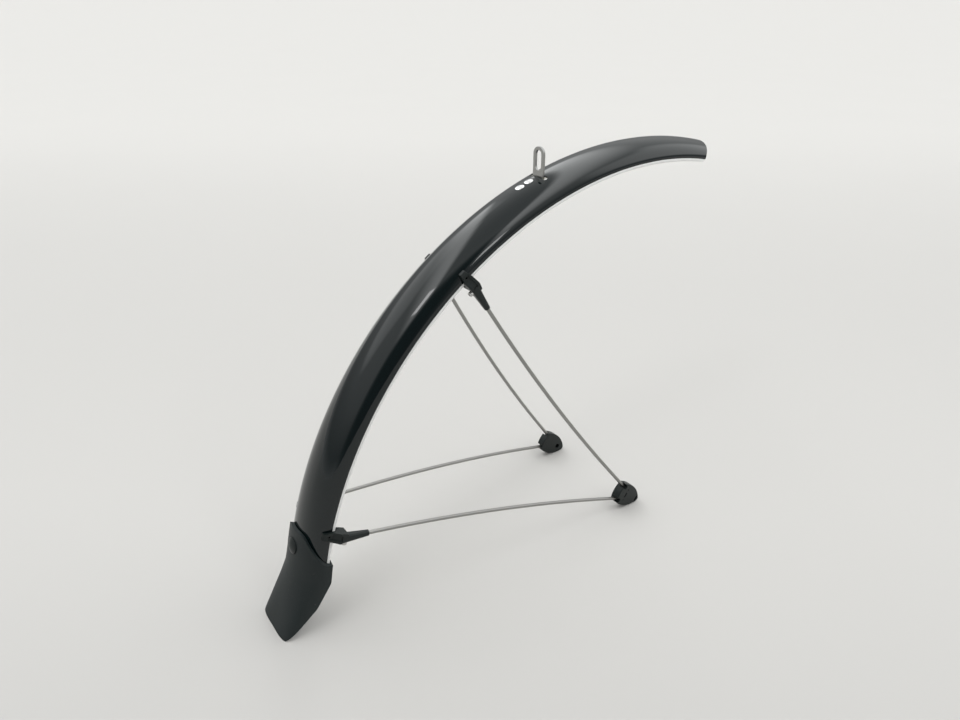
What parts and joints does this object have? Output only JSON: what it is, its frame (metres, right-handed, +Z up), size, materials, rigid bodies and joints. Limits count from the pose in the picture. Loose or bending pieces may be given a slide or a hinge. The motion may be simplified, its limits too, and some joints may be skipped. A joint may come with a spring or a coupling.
{
  "type": "bicycle mudguard",
  "caption": "Front bicycle mudguard: arched channel blade with pale lips, slotted crown bracket, bowed wire stays in moulded brackets and release clips, and a rubber flap on its tail.",
  "frame": {"origin": "centre of the bounding box in plan, on the floor that the flap's toe and both release clips stand on", "axes": "+X along the guard towards its front tip, +Y to the rider's left, +Z up; the wheel axle runs along Y"},
  "size_m": [0.4855, 0.13, 0.3731],
  "materials": {
    "blade": "gloss black outside, pale inside and along the lips",
    "steel": "plain bright steel",
    "wire": "drawn stainless wire",
    "rivet": "bright",
    "moulding": "satin black",
    "flap": "matte charcoal"
  },
  "bodies": {
    "root": {"blade": "blade", "crown_bracket": "steel", "crown_rivet_front": "rivet", "crown_rivet_rear": "rivet", "stay_left": "wire", "stay_right": "wire", "stay_bracket_upper_left": "moulding", "stay_bracket_upper_right": "moulding", "stay_bracket_lower_left": "moulding", "stay_bracket_lower_right": "moulding", "clamp_screw_upper_left": "steel", "clamp_screw_upper_right": "steel", "clamp_screw_lower_left": "steel", "clamp_screw_lower_right": "steel", "release_clip_base_left": "moulding", "release_clip_base_right": "moulding", "release_clip_cap_left": "moulding", "release_clip_cap_right": "moulding", "mud_flap": "flap", "flap_button": "moulding"}
  },
  "joints": []
}
